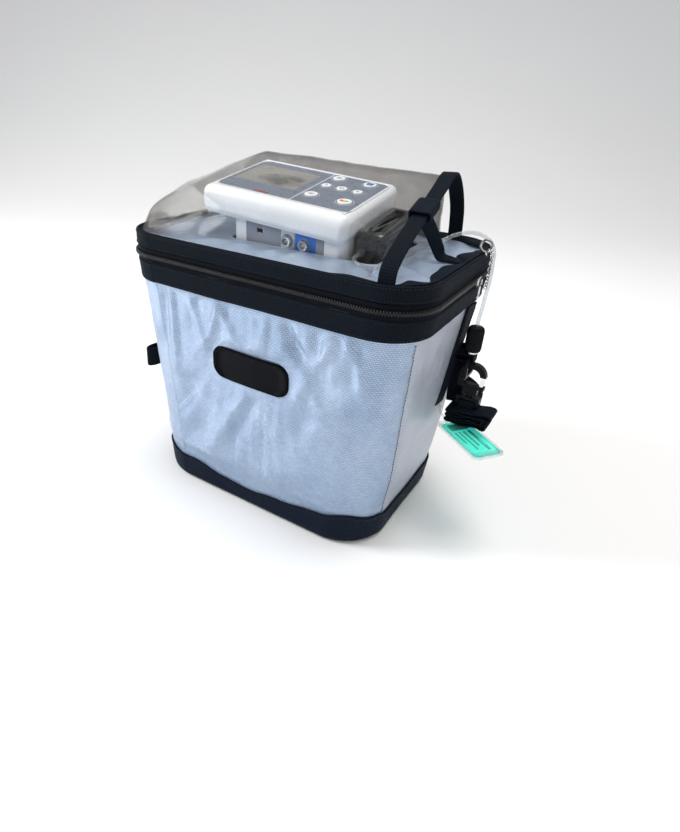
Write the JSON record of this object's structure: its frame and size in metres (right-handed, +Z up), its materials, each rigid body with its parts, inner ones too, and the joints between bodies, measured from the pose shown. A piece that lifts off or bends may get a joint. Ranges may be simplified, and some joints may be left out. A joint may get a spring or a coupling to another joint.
{
  "type": "portable oxygen concentrator",
  "caption": "Portable oxygen concentrator riding in the zipped lid of an insulated soft carry bag, under a clear flip-up cover, with carry handle, tube, strap, snap hooks and tag.",
  "frame": {"origin": "centre of the bag's flat base on the floor", "axes": "+Z up, +X to the right of the badge face, +Y to the rear, where the lid's hinge is"},
  "size_m": [0.385, 0.203, 0.319],
  "materials": {
    "silver_fabric": "coated ripstop weave",
    "foam": "closed-cell foam",
    "black_webbing": "ribbed nylon webbing",
    "badge_patch": "moulded patch",
    "black_plastic": "moulded nylon",
    "chrome_metal": "plated",
    "tag_green": "printed card",
    "clear_plastic": "clear vinyl",
    "white_plastic": "moulded",
    "grey_overlay": "membrane overlay",
    "display_glass": "display window",
    "module_grey": "moulded",
    "alarm_red": "tinted lens",
    "key_white": "keycap",
    "key_blue": "keycap",
    "key_start": "keycap",
    "board_green": "circuit board",
    "battery_blue": "shrink wrap",
    "aluminium": "drawn",
    "steel": "ground",
    "manifold_grey": "moulded",
    "filter_grey": "filter foam",
    "smoked_plastic": "smoked moulding"
  },
  "bodies": {
    "bag": {"outer_shell": "silver_fabric", "foam_insulation": "foam", "inner_liner": "silver_fabric", "base_boot": "black_webbing", "lower_rim_band": "black_webbing", "lower_zip_tape": "black_webbing", "blank_badge": "badge_patch", "side_webbing": "black_webbing", "d_rings": "black_plastic", "snap_hooks": "black_plastic", "shoulder_strap": "black_webbing", "tag_card": "tag_green", "tag_sleeve": "clear_plastic", "tag_loop": "clear_plastic", "tube_outer": "clear_plastic", "tube_coupling": "black_plastic", "coupling_nozzle": "chrome_metal"},
    "lid": {"upper_rim_band": "black_webbing", "upper_zip_tape": "black_webbing", "lid_panel": "silver_fabric", "lid_pouch": "silver_fabric", "carry_handle": "black_webbing", "side_strap": "black_webbing", "tube_inner": "clear_plastic", "clasp_ring": "chrome_metal", "top_housing": "white_plastic", "lower_housing": "white_plastic", "keypad_overlay": "grey_overlay", "display_lens": "display_glass", "display_module": "module_grey", "alarm_lens": "alarm_red", "main_board": "board_green", "battery_pack": "battery_blue", "compressor_body": "aluminium", "sieve_beds": "aluminium", "valve_manifold": "manifold_grey", "product_tank": "aluminium", "fan_frame": "black_plastic", "intake_filter": "filter_grey", "connector_plate": "grey_overlay", "usb_port": "steel", "round_sockets": "chrome_metal", "humidifier_canister": "smoked_plastic", "outlet_barb": "clear_plastic"},
    "cover": {"clear_cover": "clear_plastic"},
    "key_menu_cap": {"key_menu": "key_white"},
    "key_left_cap": {"key_left": "key_white"},
    "key_select_cap": {"key_select": "key_white"},
    "key_right_cap": {"key_right": "key_white"},
    "key_mute_cap": {"key_mute": "key_white"},
    "key_power_cap": {"key_power": "key_blue"},
    "key_start_cap": {"key_start": "key_start"},
    "slider": {"zip_slider": "chrome_metal"},
    "slider_pull": {"zip_pull": "chrome_metal"},
    "chain": {"pull_chain": "chrome_metal"},
    "gate_right": {"right_snap_gate": "chrome_metal"},
    "gate_left": {"left_snap_gate": "chrome_metal"},
    "piston": {"compressor_piston": "steel"},
    "rotor": {"fan_rotor": "black_plastic"}
  },
  "joints": [
    {"name": "lid_open", "type": "hinge", "parent": "bag", "child": "lid", "pos_m": [0, 0.1022, 0.237], "axis": [-1, 0, 0], "range_deg": [0, 100]},
    {"name": "cover_flip", "type": "hinge", "parent": "lid", "child": "cover", "pos_m": [-0.021, 0.092, 0.2585], "axis": [-1, 0, 0], "range_deg": [0, 85]},
    {"name": "press_menu", "type": "slide", "parent": "lid", "child": "key_menu_cap", "axis": [-0.0756, 0.1454, -0.9865], "range_m": [0, 0.0008], "stiffness_N_per_m": 500, "springref_m": -0.001},
    {"name": "press_left", "type": "slide", "parent": "lid", "child": "key_left_cap", "axis": [-0.0756, 0.1454, -0.9865], "range_m": [0, 0.0008], "stiffness_N_per_m": 500, "springref_m": -0.001},
    {"name": "press_select", "type": "slide", "parent": "lid", "child": "key_select_cap", "axis": [-0.0756, 0.1454, -0.9865], "range_m": [0, 0.0008], "stiffness_N_per_m": 500, "springref_m": -0.001},
    {"name": "press_right", "type": "slide", "parent": "lid", "child": "key_right_cap", "axis": [-0.0756, 0.1454, -0.9865], "range_m": [0, 0.0008], "stiffness_N_per_m": 500, "springref_m": -0.001},
    {"name": "press_mute", "type": "slide", "parent": "lid", "child": "key_mute_cap", "axis": [-0.0756, 0.1454, -0.9865], "range_m": [0, 0.0008], "stiffness_N_per_m": 500, "springref_m": -0.001},
    {"name": "press_power", "type": "slide", "parent": "lid", "child": "key_power_cap", "axis": [-0.0756, 0.1454, -0.9865], "range_m": [0, 0.0008], "stiffness_N_per_m": 500, "springref_m": -0.001},
    {"name": "press_start", "type": "slide", "parent": "lid", "child": "key_start_cap", "axis": [-0.0756, 0.1454, -0.9865], "range_m": [0, 0.0008], "stiffness_N_per_m": 500, "springref_m": -0.001},
    {"name": "slider_run", "type": "slide", "parent": "bag", "child": "slider", "axis": [0, -1, 0], "range_m": [0, 0.08]},
    {"name": "pull_swing", "type": "hinge", "parent": "slider", "child": "slider_pull", "pos_m": [0.1543, 0.026, 0.2364], "axis": [0, -1, 0], "range_deg": [0, 80]},
    {"name": "chain_swing", "type": "hinge", "parent": "lid", "child": "chain", "pos_m": [0.15288, 0.044, 0.25972], "axis": [0, -1, 0], "range_deg": [0, 15]},
    {"name": "gate_right_press", "type": "hinge", "parent": "bag", "child": "gate_right", "pos_m": [0.1725, 0.035, 0.14], "axis": [0, -1, 0], "range_deg": [0, 25], "stiffness_Nm_per_rad": 0.01, "springref_deg": -17.19},
    {"name": "gate_left_press", "type": "hinge", "parent": "bag", "child": "gate_left", "pos_m": [-0.1725, 0.035, 0.14], "axis": [0, 1, 0], "range_deg": [0, 25], "stiffness_Nm_per_rad": 0.01, "springref_deg": -17.19},
    {"name": "piston_stroke", "type": "slide", "parent": "lid", "child": "piston", "axis": [0.9969, 0.0331, -0.0715], "range_m": [-0.0025, 0.0025], "stiffness_N_per_m": 3000},
    {"name": "fan_spin", "type": "hinge", "parent": "lid", "child": "rotor", "pos_m": [0.02924, 0.05327, 0.26217], "axis": [-0.0222, 0.9888, 0.1474], "continuous": true}
  ]
}
